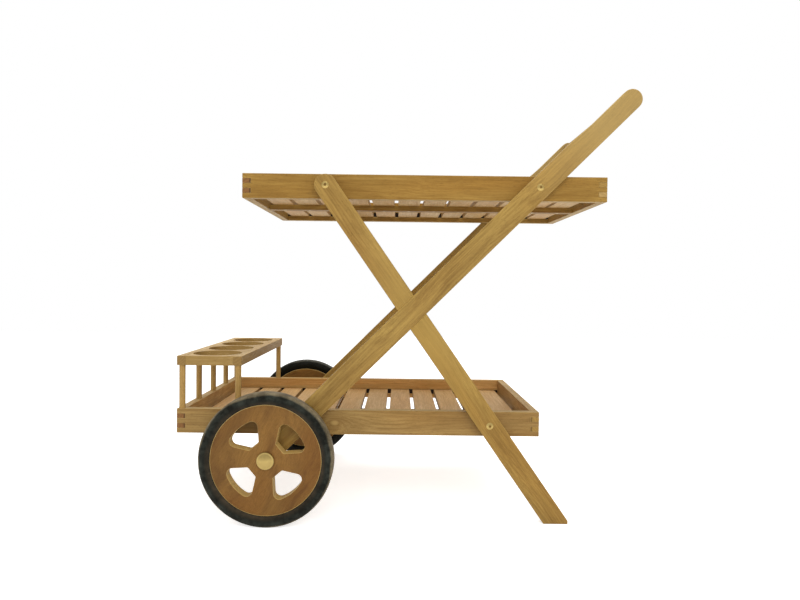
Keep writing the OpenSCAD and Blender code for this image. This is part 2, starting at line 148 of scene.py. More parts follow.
def oiled_wood(name, pale, deep, grain, face, plank, end=None, figure=0.16, wander=0.012, length=1.0,
               crisp=1.0, wear_and_highlight=0.3, knot=None, edge=None, paler_near=None, glue=None):
    """Oiled hardwood. grain is the way its fibres run and face the way the board is thin; plank
    is the number of the plank it was sawn from, which sets where its heart lay. figure is how
    strongly the growth rings show, wander how far the fibres sway from a straight line, length
    how far a streak runs, crisp how clearly it shows and wear_and_highlight how pale the arrises
    are, rubbed and with a painted highlight.
    knot is the middle of a small sound knot, edge the colour of the board's edges (on some
    boards a painted light or shade), end that of its end grain, paler_near the place, reach and
    colour of a part that grows paler towards that place, and glue the X of a dark glue line."""
    finish = bpy.data.materials.new(name)
    nodes = Nodes(finish)
    ranged, blend = nodes.ranged, nodes.blend
    luck = random.Random(plank)
    along, across = grain.normalized(), face.normalized().cross(grain).normalized()
    turn = Matrix((along, across, along.cross(across))).to_euler()
    heart = (luck.uniform(*HEART_ALONG), luck.choice((-1, 1)) * luck.uniform(*HEART_ASIDE),
             luck.uniform(*HEART_BELOW))
    surface = nodes.add("TexCoord", {}).outputs
    where = surface["Object"]
    plank_at = nodes.add("Mapping", {"Vector": where, "Rotation": turn, "Location": heart}).outputs[0]
    facing = nodes.add("Mapping", {"Vector": surface["Normal"], "Rotation": turn}, vector_type="VECTOR")
    facing = nodes.add("SeparateXYZ", {0: facing.outputs[0]}).outputs
    thin = nodes.math("ABSOLUTE", facing[2])

    def noise(mark, detail=2, rough=0.55):
        lengthwise, sideways = MARKS[mark]
        at = nodes.vector("MULTIPLY", plank_at, (lengthwise / length, sideways, sideways))
        marks = {"Vector": at, "Scale": 1, "Detail": detail, "Roughness": rough}
        return nodes.add("TexNoise", marks).outputs[0]

    # the fibres sway a little, and swing round a knot
    sway = ranged(noise("sway"), 0.25, 0.75, -wander, wander)
    if knot:
        to_knot = nodes.vector("MULTIPLY", nodes.vector("SUBTRACT", where, knot), KNOT_STRETCH)
        to_knot = nodes.vector("LENGTH", to_knot)
        sway = nodes.math("ADD", sway, ranged(to_knot, 0, KNOT_SWAY_REACH, KNOT_SWAY, 0))
    sway = nodes.add("CombineXYZ", {0: 0.0, 1: sway, 2: sway}).outputs[0]
    plank_at = nodes.vector("ADD", plank_at, sway)

    # broad clouds of tone, warmer and darker in places
    middle = tuple((a + b) / 2 for a, b in zip(pale, deep))
    warm = tuple(c * k for c, k in zip(middle, WARMTH))
    clouds = noise("clouds")
    colour = blend(ranged(clouds, 0.36, 0.64), pale, middle)
    colour = blend(ranged(noise("warmth", 1), 0.45, 0.66, 0, 0.6), colour, warm)
    colour = blend(ranged(noise("bands", 3, 0.6), 0.5, 0.7, 0, 0.55), colour, shaded(deep, 1.05))
    if edge:
        colour = blend(ranged(thin, 0.975, 0.75), colour, edge)

    # growth rings that come and go, then streaks, lines, fibres and open pores
    ring_at = nodes.vector("MULTIPLY", plank_at, RING_STRETCH)
    waves = {"Vector": ring_at, "Scale": RING_AT_SCALE_1 / RING, "Distortion": 7, "Detail": 3,
             "Detail Scale": 0.7, "Detail Roughness": 0.62}
    rings = nodes.add("TexWave", waves, wave_type="RINGS", rings_direction="X", wave_profile="SIN")
    rings = rings.outputs["Fac"]
    strength = ranged(noise("ring strength", 1), 0.35, 0.62, 0.25, 1.0)
    streaks = noise("streaks", 3, 0.62)
    lines = noise("lines", 2, 0.6)
    fibres = noise("fibres")
    pores = ranged(noise("pores", 1), 0.61, 0.72)
    colour = blend(nodes.math("MULTIPLY", ranged(rings, 0.35, 1.0, 0, figure), strength), colour, deep)
    colour = blend(ranged(streaks, 0.42, 0.68, 0, 0.5 * crisp), colour, deep)
    colour = blend(ranged(streaks, 0.40, 0.28, 0, 0.35 * crisp), colour, pale)
    colour = blend(ranged(lines, 0.45, 0.66, 0, 0.5 * crisp), colour, deep)
    colour = blend(ranged(lines, 0.44, 0.3, 0, 0.3 * crisp), colour, pale)
    colour = blend(ranged(fibres, 0.35, 0.7, 0, 0.26), colour, shaded(deep, 0.6))
    colour = blend(nodes.math("MULTIPLY", pores, 0.5), colour, shaded(deep, 0.35))
    if knot:
        colour = blend(ranged(to_knot, *KNOT_RING, 0, 0.5), colour, deep)
        colour = blend(ranged(to_knot, *KNOT_HEART, 0, 0.8), colour, pale)
    # paler towards one place
    if paler_near:
        place, reach, paler_colour = paler_near
        to_place = nodes.vector("DISTANCE", where, place)
        colour = blend(ranged(to_place, reach, 0.3 * reach, 0, GRIP_PALING), colour, paler_colour)

    # cut across, the fibres drink more oil
    end = end or shaded(middle, 0.62)
    end_colour = blend(ranged(rings, 0.2, 1.0, 0, 0.5), end, shaded(end, 0.6))
    end_colour = blend(ranged(noise("end pores"), 0.4, 0.62, 0, 0.4), end_colour, shaded(end, 0.7))
    if glue is not None:
        x_at = nodes.add("SeparateXYZ", {0: where}).outputs[0]
        to_glue = nodes.math("ABSOLUTE", nodes.math("SUBTRACT", x_at, glue))
        line = ranged(to_glue, GLUE_LINE, 0.4 * GLUE_LINE, 0, 0.9)
        end_colour = blend(line, end_colour, shaded(end, 0.33))
    colour = blend(ranged(nodes.math("ABSOLUTE", facing[0]), 0.72, 0.9), colour, end_colour)

    # the eased arrises are painted paler, for wear and as a painted highlight: there the surface looks half
    # sideways, half to the face
    off = nodes.math("ABSOLUTE", nodes.math("SUBTRACT", thin, 0.7))
    worn_and_highlit = nodes.math("MULTIPLY", ranged(off, 0.27, 0.08, 0, wear_and_highlight), ranged(clouds, 0.3, 0.6, 0.5, 1.0))
    colour = blend(worn_and_highlit, colour, shaded(pale, 1.3))
    relief = nodes.math("SUBTRACT", fibres, pores)
    bump = nodes.add("Bump", {"Height": relief, "Distance": PORE_RELIEF, "Strength": 0.5})
    shader = nodes.tree.nodes["Principled BSDF"]
    nodes.join(shader.inputs["Base Color"], colour)
    nodes.join(shader.inputs["Roughness"], ranged(fibres, 0.3, 0.7, 0.5, 0.66))
    nodes.join(shader.inputs["Normal"], bump.outputs[0])
    nodes.join(shader.inputs["Specular IOR Level"], OILED_GLOSS)
    return finish


def sawn(name, rings, low, high, thin, arris, steps=2):
    """A board sawn to its outline. rings are the outline and any holes, as pairs in the two
    axes that the board is wide in; low and high are its two faces, along the axis it is thin in."""
    cross = {"X": lambda a, b: Vector((low, a, b)), "Y": lambda a, b: Vector((a, low, b)),
             "Z": lambda a, b: Vector((a, b, low))}[thin]
    lift = {"X": X, "Y": Y, "Z": Z}[thin] * (high - low)
    bm = bmesh.new()
    edges = []
    for ring in rings:
        corners = [bm.verts.new(cross(a, b)) for a, b in ring]
        edges += [bm.edges.new((corners[i - 1], corners[i])) for i in range(len(corners))]
    bmesh.ops.triangle_fill(bm, use_beauty=True, edges=edges)
    raised = bmesh.ops.extrude_face_region(bm, geom=bm.faces[:])["geom"]
    bmesh.ops.translate(bm, verts=[v for v in raised if isinstance(v, bmesh.types.BMVert)], vec=lift)
    bmesh.ops.recalc_face_normals(bm, faces=bm.faces)
    bmesh.ops.dissolve_limit(bm, angle_limit=FLAT, verts=bm.verts, edges=bm.edges)
    piece = as_piece(name, bm)
    eased = piece.modifiers.new("eased_arrises", "BEVEL")
    eased.width = arris
    eased.segments = steps
    eased.limit_method = "ANGLE"
    eased.angle_limit = SHARP
    eased.harden_normals = True
    return piece


def as_piece(name, bm):
    """Turns the shape into a piece of the scene, smooth but for its sharp edges."""
    mesh = bpy.data.meshes.new(name)
    bm.to_mesh(mesh)
    bm.free()
    mesh.shade_smooth()
    mesh.set_sharp_from_angle(angle=SHARP)
    piece = bpy.data.objects.new(name, mesh)
    bpy.context.scene.collection.objects.link(piece)
    return piece


def settle(piece):
    """Makes what the piece's modifiers do its own mesh."""
    bpy.context.view_layer.update()
    ready = piece.evaluated_get(bpy.context.evaluated_depsgraph_get())
    mesh = bpy.data.meshes.new_from_object(ready)
    piece.modifiers.clear()
    piece.data = mesh


def cut(piece, tool):
    """Takes the tool's shape out of the piece."""
    settle(piece)
    settle(tool)
    saw = piece.modifiers.new("cut", "BOOLEAN")
    saw.operation = "DIFFERENCE"
    saw.solver = "EXACT"
    saw.object = tool
    settle(piece)
    bpy.data.objects.remove(tool)


def fit(piece, node, finish, body="frame"):
    """Puts a finished piece in the place of its CAD node."""
    piece.data.materials.clear()
    piece.data.materials.append(finish)
    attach(piece, body)
    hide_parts(node)


def fingered(a0, a1, z0, z1, depth, kept):
    """A rail's outline, notched at both ends where the other rail's fingers go. kept is 0
    where the rail keeps the lowest finger, and 1 where it keeps the second."""
    step = (z1 - z0) / FINGERS
    back = [0 if k % 2 == kept else depth for k in range(FINGERS)]
    rise = [(a1 - back[k], z0 + (k + up) * step) for k in range(FINGERS) for up in (0, 1)]
    fall = [(a0 + back[k], z0 + (k + up) * step) for k in reversed(range(FINGERS)) for up in (1, 0)]
    return rise + fall


plank = 1
for level in ("upper", "lower"):
    end_low, end_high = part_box(f"{level}_end_rail_front")
    thick = end_high.x - end_low.x
    slat_low, slat_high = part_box(f"{level}_slat_01")
    for side in ("left", "right"):
        node = f"{level}_side_rail_{side}"
        low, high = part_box(node)
        outline = fingered(low.x, high.x, low.z, high.z, thick, 0)
        rail = sawn(f"{node}_eased", [outline], low.y, high.y, "Y", RAIL_ARRIS)
        inner, outward = (high.y, -1) if side == "left" else (low.y, 1)
        floor_of_groove = inner + outward * GROOVE_DEPTH
        groove_y = sorted((inner - outward * GROOVE_DEPTH, floor_of_groove))
        groove = [(low.x + thick, slat_low.z), (high.x - thick, slat_low.z),
                  (high.x - thick, slat_high.z + GROOVE_FIT), (low.x + thick, slat_high.z + GROOVE_FIT)]
        cut(rail, sawn("groove", [groove], *groove_y, "Y", 0))
        knot = KNOT if node == "lower_side_rail_left" else None
        pale, deep = RAIL_PALE[level], RAIL_DEEP[level]
        # the far rail takes the paler colours, as painted light on its shaded inner face
        if node == "lower_side_rail_right":
            pale, deep = INNER_LIT_PALE, INNER_LIT_DEEP
        finish = oiled_wood(f"wood_{node}", pale, deep, X, Y, plank, figure=RAIL_FIGURE[level],
                            crisp=RAIL_CRISP, knot=knot, edge=RAIL_EDGE)
        fit(rail, node, finish)
        # where the groove lies open between the slats it is painted near black: painted shade in the deep,
        # narrow slot
        rail.data.materials.append(oiled_wood(f"wood_{node}_groove", GROOVE_SHADE_PALE, GROOVE_SHADE_DEEP, X, Y, plank))
        for face in rail.data.polygons:
            inside = abs(inner) + HAIR < abs(face.center.y) < abs(floor_of_groove) + HAIR
            if inside and slat_low.z - HAIR < face.center.z < slat_high.z + 2 * GROOVE_FIT:
                face.material_index = 1
        plank += 1
    for end in ("front", "rear"):
        node = f"{level}_end_rail_{end}"
        low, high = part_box(node)
        outline = fingered(low.y, high.y, low.z, high.z, thick, 1)
        rail = sawn(f"{node}_eased", [outline], low.x, high.x, "X", RAIL_ARRIS)
        glue = None if (level, end) == ("upper", "rear") else {"front": high.x, "rear": low.x}[end]
        finishes = []
        for half, end_grain in zip(("low", "high"), FINGER_ENDS[level, end]):
            finishes.append(oiled_wood(f"wood_{node}_{half}", END_RAIL_PALE[level], END_RAIL_DEEP[level],
                                       Y, X, plank, end_grain, wear_and_highlight=0, edge=RAIL_EDGE, glue=glue))
        fit(rail, node, finishes[0])
        rail.data.materials.append(finishes[1])
        for face in rail.data.polygons:
            face.material_index = int(face.center.z > (low.z + high.z) / 2 + MIDDLE_SLACK)
        plank += 1


# ---- Slats --------------------------------------------------------------------------
# Twelve slats across each tray, planed to 12 mm, paler than the rails. Their ends sit in
# the side rails' grooves, and 9 mm of air is left between them for the wet to run off.
SLAT_PALE = {"upper": (0.69, 0.51, 0.25), "lower": (0.69, 0.485, 0.24)}
SLAT_DEEP = (0.46, 0.27, 0.10)
# painted shade: the slats' edges are dark, so that the narrow gaps between them read as shaded
SLAT_EDGE_SHADE = (0.27, 0.155, 0.055)
SLAT_ARRIS = 0.0012
SLATS = 12

for level in ("upper", "lower"):
    for number in range(1, SLATS + 1):
        node = f"{level}_slat_{number:02d}"
        low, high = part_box(node)
        outline = [(low.x, low.y), (high.x, low.y), (high.x, high.y), (low.x, high.y)]
        slat = sawn(f"{node}_planed", [outline], low.z, high.z, "Z", SLAT_ARRIS)
        finish = oiled_wood(f"wood_{node}", SLAT_PALE[level], SLAT_DEEP, Y, Z, plank, figure=0.1,
                            wear_and_highlight=0.15, edge=SLAT_EDGE_SHADE)
        fit(slat, node, finish)
        plank += 1


# ---- Battens ------------------------------------------------------------------------
# A 28 mm batten under each tray's slats, a little left of the middle, screwed up into every
# slat with countersunk brass screws, so that the slats stay flat and evenly spaced.


def finished(node, finish):
    """Gives a piece whose own shape is right its finish."""
    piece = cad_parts[node]
    piece.data.materials.clear()
    piece.data.materials.append(finish)


for level in ("upper", "lower"):
    node = f"{level}_batten"
    finished(node, oiled_wood(f"wood_{node}", RAIL_PALE[level], RAIL_DEEP[level], X, Z, plank))
    plank += 1


# ---- Handle arms --------------------------------------------------------------------
# One long arm on each side, 46 by 22 mm, from the axle at its heel up past both trays to
# the round end of the grip. It is halved over the short leg, and runs through outside it.
ARM_W = 0.046
ARM_END_R = 0.021
HEEL_DROP = 0.006
GRIP_TAPER = (0.090, 0.180)
ARM_PALE = (0.455, 0.292, 0.075)
ARM_DEEP = (0.165, 0.083, 0.016)
# the arm is painted paler towards the grip
GRIP_PALE = (0.50, 0.37, 0.145)
ARM_ARRIS = 0.0016
ROUND_STEPS = 14
TAPER_STEPS = 20
INSERT_R = 0.005
# from a leg's upper bolt to its lower one
LEG_FALL, LEG_RUN = 0.499, 0.349
# the stretch of each that the other is cut away for, from the arm's lower and the leg's upper bolt
HALVED_ON_ARM = (0.1, 0.6)
HALVED_ON_LEG = (0.1, 0.5)
SAW_OVER = 0.002
GRIP_PALE_REACH = 0.3


def arc(centre, radius, start, end, steps=ROUND_STEPS):
    turns = [math.radians(start + (end - start) * k / steps) for k in range(steps + 1)]
    return [(centre[0] + radius * math.cos(t), centre[1] + radius * math.sin(t)) for t in turns]


def laid(points, origin, slope):
    """Points drawn along a member, laid at its slope from its lower or upper bolt."""
    c, s = math.cos(slope), math.sin(slope)
    return [(origin[0] + a * c - b * s, origin[1] + a * s + b * c) for a, b in points]


def stretch(reach, origin, slope):
    """The stretch of a member that the other one is notched for, from its bolt."""
    start, end = reach
    half = ARM_W / 2
    return laid([(start, -half), (end, -half), (end, half), (start, half)], origin, slope)


def halved(node, outline, notch, way, grain, paler_near=None):
    """An arm or a leg, sawn to its outline and cut to half its thickness where the other one
    crosses it, on the face that way points to."""
    low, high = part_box(node)
    member = sawn(f"{node}_eased", [outline], low.y, high.y, "Y", ARM_ARRIS, steps=3)
    face = high.y if way > 0 else low.y
    depth = sorted((face + way * SAW_OVER, (low.y + high.y) / 2))
    cut(member, sawn("notch", [notch], *depth, "Y", 0))
    finish = oiled_wood(f"wood_{node}", ARM_PALE, ARM_DEEP, grain, Y, plank, figure=0.16, crisp=0.62,
                        wear_and_highlight=0.5, paler_near=paler_near)
    fit(member, node, finish)


inserts_low, inserts_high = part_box("bolt_inserts")
arm_foot = (inserts_low.x + INSERT_R, inserts_low.z + INSERT_R)
arm_top = (inserts_high.x - INSERT_R, inserts_high.z - INSERT_R)
arm_slope = math.atan2(arm_top[1] - arm_foot[1], arm_top[0] - arm_foot[0])
arm_span = math.dist(arm_foot, arm_top)
bar_low, bar_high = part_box("handle_bar")
bar_at = ((bar_low.x + bar_high.x) / 2, (bar_low.z + bar_high.z) / 2)
axle_low, axle_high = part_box("axle")
axle_at = ((axle_low.x + axle_high.x) / 2, (axle_low.z + axle_high.z) / 2)
arm_grain = Vector((math.cos(arm_slope), 0, math.sin(arm_slope)))
tip_s = (bar_at[0] - arm_foot[0]) * arm_grain.x + (bar_at[1] - arm_foot[1]) * arm_grain.z
tip_p = ARM_END_R - ARM_W / 2
axle_s = (axle_at[0] - arm_foot[0]) * arm_grain.x + (axle_at[1] - arm_foot[1]) * arm_grain.z
heel_r = ARM_W / 2 - HEEL_DROP
grip_drop = ARM_W - 2 * ARM_END_R
taper_start, taper_end = GRIP_TAPER
taper = [(arm_span + taper_start + (taper_end - taper_start) * k / TAPER_STEPS,
          ARM_W / 2 - grip_drop * (1 - math.cos(math.pi * k / TAPER_STEPS)) / 2)
         for k in range(TAPER_STEPS + 1)]
arm_outline = laid(
    arc((axle_s, -HEEL_DROP), heel_r, 270, 135)
    + [(axle_s + ARM_W / 2 + HEEL_DROP - heel_r * math.sqrt(2), ARM_W / 2)]
    + taper
    + arc((tip_s, tip_p), ARM_END_R, 90, -90), arm_foot, arm_slope)
leg_low, leg_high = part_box("short_leg_left")
leg_top = (leg_low.x + ARM_W / 2, leg_high.z - ARM_W / 2)
leg_slope = -math.atan2(LEG_FALL, LEG_RUN)
leg_stretch = stretch(HALVED_ON_LEG, leg_top, leg_slope)
for side, outward in (("left", -1), ("right", 1)):
    node = f"handle_arm_{side}"
    low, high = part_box(node)
    grip_at = (bar_at[0], (low.y + high.y) / 2, bar_at[1])
    halved(node, arm_outline, leg_stretch, -outward, arm_grain, (grip_at, GRIP_PALE_REACH, GRIP_PALE))
    plank += 1


# ---- Short legs ---------------------------------------------------------------------
# One short leg on each side, of the same stock as the arm, from the front of the upper tray
# down to the floor. Its top is round, its foot is cut level, and its sharp toe is taken off.
TOE_CUT = 0.007
leg_r = ARM_W / 2
down = Vector((math.cos(leg_slope), 0, math.sin(leg_slope)))
foot_s = leg_top[1] / -down.z
foot_x = leg_top[0] + foot_s * down.x
heel_x = foot_x + leg_r / down.z
toe_x = foot_x - leg_r / down.z + TOE_CUT * down.x / down.z
round_top = laid(arc((0, 0), leg_r, 90, 270), leg_top, leg_slope)
leg_outline = [(heel_x, 0), (toe_x, 0), (toe_x, TOE_CUT)] + round_top
arm_stretch = stretch(HALVED_ON_ARM, arm_foot, arm_slope)
for side, outward in (("left", -1), ("right", 1)):
    halved(f"short_leg_{side}", leg_outline, arm_stretch, outward, down)
    plank += 1


# ---- Push bar -----------------------------------------------------------------------
# A round bar between the arms' upper ends, turned from the same wood, with a tenon at each
# end glued into the arm.
TENON_R = 0.009
TENON_CHAMFER = 0.001
SHOULDER_ARRIS = 0.0006
ON_AXIS = 1e-7


def turned(name, profile, centre, axis, around=64):
    """A piece turned on a lathe. profile is pairs of radius and distance along the axis,
    and where it starts and ends off the axis it closes on itself, as a ring does."""
    side = Z if axis is Y else X
    other = axis.cross(side)
    bm = bmesh.new()
    hoops = []
    for radius, along in profile:
        middle = centre + axis * along
        if radius < ON_AXIS:
            hoops.append([bm.verts.new(middle)])
            continue
        angles = [2 * math.pi * k / around for k in range(around)]
        spokes = [side * math.cos(t) + other * math.sin(t) for t in angles]
        hoops.append([bm.verts.new(middle + radius * spoke) for spoke in spokes])
    if profile[0][0] > ON_AXIS:
        hoops.append(hoops[0])
    for first, second in zip(hoops, hoops[1:]):
        for k in range(around):
            ring = [first[k % len(first)], first[(k + 1) % len(first)],
                    second[(k + 1) % len(second)], second[k % len(second)]]
            bm.faces.new(list(dict.fromkeys(ring)))
    bmesh.ops.recalc_face_normals(bm, faces=bm.faces)
    return as_piece(name, bm)


bar_r = (bar_high.x - bar_low.x) / 2
end_y = bar_low.y
shoulder_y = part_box("handle_arm_left")[1].y
bar_profile = [(0, end_y), (TENON_R - TENON_CHAMFER, end_y), (TENON_R, end_y + TENON_CHAMFER),
               (TENON_R, shoulder_y), (bar_r - SHOULDER_ARRIS, shoulder_y),
               (bar_r, shoulder_y + SHOULDER_ARRIS)]
bar_profile += [(r, -y) for r, y in reversed(bar_profile)]
bar = turned("push_bar_turned", bar_profile, Vector((bar_at[0], 0, bar_at[1])), Y)
fit(bar, "handle_bar", oiled_wood("wood_push_bar", ARM_PALE, ARM_DEEP, Y, Z, plank, wear_and_highlight=0))
plank += 1


# ---- Bolts, inserts and screws ------------------------------------------------------
# Eight brass bolts with low domed heads and hexagon sockets go through the arms and legs
# into threaded brass inserts in the rails. The countersunk screws in the battens are brass too.
BRASS = (0.52, 0.375, 0.13)
BRASS_ROUGH = 0.38
SOCKET_R = 0.0031
SOCKET_DEPTH = 0.005
INSERT_L = 0.011
SHANK_R = 0.003
DOME_STEPS = 8
HEAD_AROUND = 40
DULL_CLOUDS, RUBS = 140, 12
RUB_RELIEF = 0.00004


def circle(centre, radius, corners):
    """Evenly spaced corners round a centre: many for a circle, six for a hexagon."""
    return arc(centre, radius, 0, 360 - 360 / corners, corners - 1)


def metal(name, colour, rough, streak=(60, 60, 60), dull=0.25):
    """Worn metal: cloudy where hands and weather have dulled it, with fine rubbed streaks."""
    finish = bpy.data.materials.new(name)
    nodes = Nodes(finish)
    where = nodes.add("TexCoord", {}).outputs["Object"]
    clouds = nodes.add("TexNoise", {"Vector": where, "Scale": DULL_CLOUDS, "Detail": 4}).outputs[0]
    stretched = nodes.vector("MULTIPLY", where, streak)
    rubs = nodes.add("TexNoise", {"Vector": stretched, "Scale": RUBS}).outputs[0]
    bump = nodes.add("Bump", {"Height": rubs, "Distance": RUB_RELIEF})
    shader = nodes.tree.nodes["Principled BSDF"]
    nodes.join(shader.inputs["Metallic"], 1)
    nodes.join(shader.inputs["Base Color"], nodes.blend(clouds, colour, shaded(colour, 1 - dull)))
    nodes.join(shader.inputs["Roughness"], nodes.ranged(rubs, 0, 1, 0.8 * rough, 1.3 * rough))
    nodes.join(shader.inputs["Normal"], bump.outputs[0])
    return finish


def domed(radius, rise, foot, steps):
    """The profile of a dome from its edge to just short of its top. foot is how high its edge is."""
    sphere = (radius ** 2 + rise ** 2) / (2 * rise)
    spread = math.asin(radius / sphere)
    turns = [spread * (1 - k / steps) for k in range(steps)]
    return [(sphere * math.sin(t), foot + sphere * math.cos(t) - sphere + rise) for t in turns]


def joined(name, pieces):
    """Like pieces that share a node, as one piece."""
    with bpy.context.temp_override(active_object=pieces[0], selected_editable_objects=pieces):
        bpy.ops.object.join()
    pieces[0].name = name
    return pieces[0]


brass = metal("satin_brass", BRASS, BRASS_ROUGH)
bolts_low, bolts_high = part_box("frame_bolts")
face_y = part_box("handle_arm_right")[1].y
head_r = arm_foot[0] - bolts_low.x
head_h = bolts_high.y - face_y
shank_end = inserts_high.y - INSERT_L - face_y
bolt_profile = [(0, shank_end), (SHANK_R, shank_end), (SHANK_R, -HAIR), (head_r, -HAIR)]
bolt_profile += domed(head_r, head_h, 0, DOME_STEPS) + [(0, head_h)]
socket_y = (face_y + head_h - SOCKET_DEPTH, face_y + 2 * head_h)
leg_foot = (leg_top[0] + (leg_top[1] - arm_foot[1]) / math.tan(-leg_slope), arm_foot[1])
bolts = []
for place in (arm_foot, arm_top, leg_top, leg_foot):
    for outward in (-1, 1):
        centre = Vector((place[0], outward * face_y, place[1]))
        bolt = turned("bolt", bolt_profile, centre, Y * outward, HEAD_AROUND)
        hexagon = circle(place, SOCKET_R, 6)
        cut(bolt, sawn("hexagon", [hexagon], *sorted(outward * y for y in socket_y), "Y", 0))
        bolts.append(bolt)
fit(joined("frame_bolts_domed", bolts), "frame_bolts", brass)
finished("batten_screws", brass)
finished("bolt_inserts", brass)


# ---- Axle, washers and bushes -------------------------------------------------------
# A zinc-plated steel axle goes through both arms. A washer keeps each wheel off the arm,
# and each wheel turns on a brass bush pressed into its disc.
STEEL = (0.56, 0.57, 0.58)
STEEL_ROUGH = 0.36
TURNING_MARKS = (60, 4, 60)

steel = metal("zinc_plated_steel", STEEL, STEEL_ROUGH, TURNING_MARKS)
finished("axle", steel)
finished("axle_washers", steel)
finished("wheel_bush_left", brass)
finished("wheel_bush_right", brass)


# ---- Wheel discs --------------------------------------------------------------------
# Each wheel is a 26 mm disc of redder wood with four fan-shaped openings, which leave four
# broad spokes. The rim and the openings are rounded over with a router.
WINDOW_R = 0.085
WINDOW_IN = 0.037
WINDOW_IN_W = 0.029
WINDOW_OUT_W = 0.068
WINDOW_OUT_R = 0.012
WINDOW_IN_R = 0.004
WINDOWS = 4
EDGE_STEPS, OUT_STEPS, IN_STEPS = 6, 10, 5
LEFT_TURN, RIGHT_TURN = 40.5, 3.0
GRAIN_TURN = 20
ROUND_OVER = 0.0038
DISC_CORNERS, BUSH_CORNERS = 180, 48
DISC_PALE = (0.275, 0.139, 0.030)
DISC_DEEP = (0.080, 0.030, 0.005)
# painted light: the disc's edges, the walls of its openings and its rounded rim are paler, as where they
# catch the light
DISC_EDGE_LIT = (0.62, 0.42, 0.14)
DISC_RIM_LIT = (0.60, 0.43, 0.18)
# the share of the rounding that is painted pale, and how squarely a face lies to count as the flat side
RIM_SHARE = 0.8
FLAT_FACE = 0.999


def window(turn):
    """One opening's outline about the hub, its middle line turned from +X towards +Z."""
    corner_r = WINDOW_R - WINDOW_OUT_R
    corner_a = math.asin((WINDOW_OUT_W / 2 - WINDOW_OUT_R) / corner_r)
    outer = Vector((corner_r * math.cos(corner_a), corner_r * math.sin(corner_a)))
    inner = Vector((WINDOW_IN + WINDOW_IN_R, WINDOW_IN_W / 2 - WINDOW_IN_R))
    run = outer - inner
    side_a = math.atan2(run.y, run.x) + math.acos((WINDOW_IN_R - WINDOW_OUT_R) / run.length)
    corner, side_a = math.degrees(corner_a), math.degrees(side_a)
    half = arc((0, 0), WINDOW_R, 0, corner, EDGE_STEPS)[:-1]
    half += arc(outer, WINDOW_OUT_R, corner, side_a, OUT_STEPS)
    half += arc(inner, WINDOW_IN_R, side_a, 180, IN_STEPS)
    return laid(half + [(a, -b) for a, b in reversed(half[1:])], axle_at, math.radians(turn))


for side, turn in (("left", LEFT_TURN), ("right", RIGHT_TURN)):
    node = f"wheel_disc_{side}"
    low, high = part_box(node)
    bush_low, bush_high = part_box(f"wheel_bush_{side}")
    disc_r = (high.x - low.x) / 2
    rings = [circle(axle_at, disc_r, DISC_CORNERS)]
    rings += [circle(axle_at, (bush_high.x - bush_low.x) / 2, BUSH_CORNERS)]
    rings += [window(turn + 360 * k / WINDOWS) for k in range(WINDOWS)]
    disc = sawn(f"{node}_rounded", rings, low.y, high.y, "Y", ROUND_OVER, steps=4)
    grain_a = math.radians(turn + GRAIN_TURN)
    grain = Vector((math.cos(grain_a), 0, math.sin(grain_a)))
    finish = oiled_wood(f"wood_{node}", DISC_PALE, DISC_DEEP, grain, Y, plank, DISC_EDGE_LIT, figure=0.1,
                        wander=0.035, length=0.6, crisp=0.2, wear_and_highlight=0.2, edge=DISC_EDGE_LIT)
    settle(disc)
    fit(disc, node, finish, f"{side}_wheel")
    # the rounded rim is painted pale: painted light on the rounding in the corner beside the tyre, which
    # the tyre shades
    disc.data.materials.append(
        oiled_wood(f"wood_{node}_rim", DISC_RIM_LIT, DISC_EDGE_LIT, grain, Y, plank, DISC_RIM_LIT, wear_and_highlight=0))
    for face in disc.data.polygons:
        from_hub = math.dist((face.center.x, face.center.z), axle_at)
        if from_hub > disc_r - RIM_SHARE * ROUND_OVER and abs(face.normal.y) < FLAT_FACE:
            face.material_index = 1
    plank += 1


# ---- Tyres --------------------------------------------------------------------------
# Solid black rubber tyres, stretched on over the discs. Their side walls swell a little, and
# the left one's tread is scuffed to a dusty tan.
WALL_STEPS = 10
TYRE_AROUND = 144
TYRE_W, TREAD_W = 0.038, 0.028
SHOULDER_DROP, SHOULDER_IN, TREAD_IN = 0.0012, 0.0006, 0.0028
RUBBER_BLACK = (0.005, 0.005, 0.003)
RUBBER_ROUGH = 0.6
RUBBER_GLOSS = 0.11
BLOOM_WANDER = 0.0025
BLOOM_CLOUDS, BLOOM_PATCHES = 42, 15
BLOOM_RELIEF = 0.0004
# each bloom: the radii where it starts and is full, its strength, its colour and its cloudiness
BLOOMS = {
    "left": ((0.124, 0.116, 0.7, (0.070, 0.054, 0.034), 0.7),
             (0.119, 0.127, 0.6, (0.046, 0.051, 0.040), 1.0),
             (0.1330, 0.1368, 0.95, (0.25, 0.20, 0.12), 0.6)),
    # the far tyre's blooms are kept faint and near black: painted shade, as its wall stands in the trays'
    # shade
    "right": ((0.120, 0.130, 0.6, (0.020, 0.022, 0.020), 0.9),
              (0.134, 0.1375, 0.8, (0.08, 0.075, 0.055), 0.5))}


